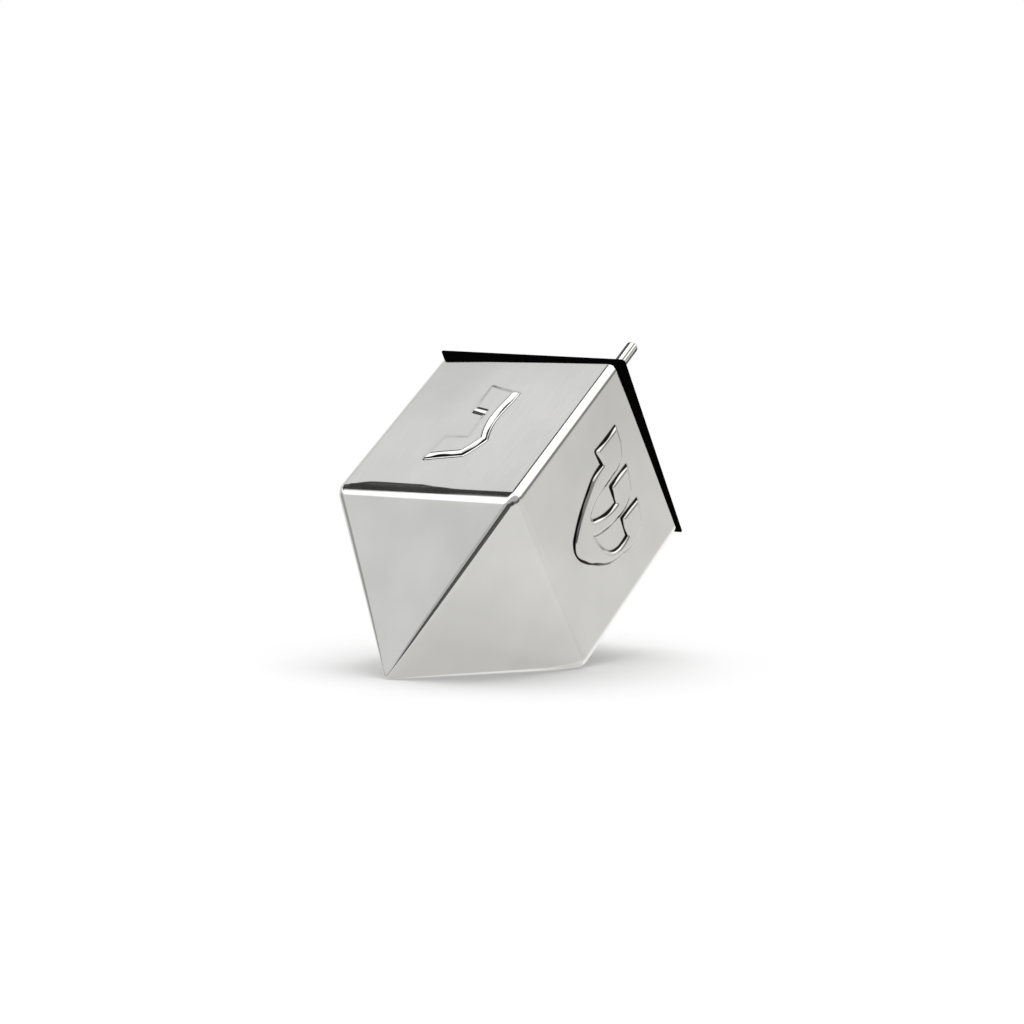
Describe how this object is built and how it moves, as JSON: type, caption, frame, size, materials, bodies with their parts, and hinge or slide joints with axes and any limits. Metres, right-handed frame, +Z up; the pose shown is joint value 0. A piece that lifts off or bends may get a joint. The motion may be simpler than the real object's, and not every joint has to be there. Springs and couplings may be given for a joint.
{
  "type": "dreidel",
  "caption": "Polished metal dreidel with a square lettered body, a four-sided point, a bevelled black top plate and a thin round stem, lying at rest on one flank of its point.",
  "frame": {"origin": "the tip of the point, where the flanks' planes meet; the tip touches the surface that the dreidel lies on", "axes": "+Z up; the flank under the hei side lies on the floor at Z 0; the spin axis leans towards +X in the XZ plane, stem end up; the shin side faces -Y and the gimel side +Y"},
  "size_m": [0.0509, 0.0263, 0.0369],
  "materials": {
    "polished_metal": "polished, with fine buffing marks",
    "black_plate": "black enamel, satin"
  },
  "bodies": {
    "root": {"point": "polished_metal", "nun_side": "polished_metal", "gimel_side": "polished_metal", "hei_side": "polished_metal", "shin_side": "polished_metal", "top_plate": "black_plate", "stem": "polished_metal"}
  },
  "joints": []
}
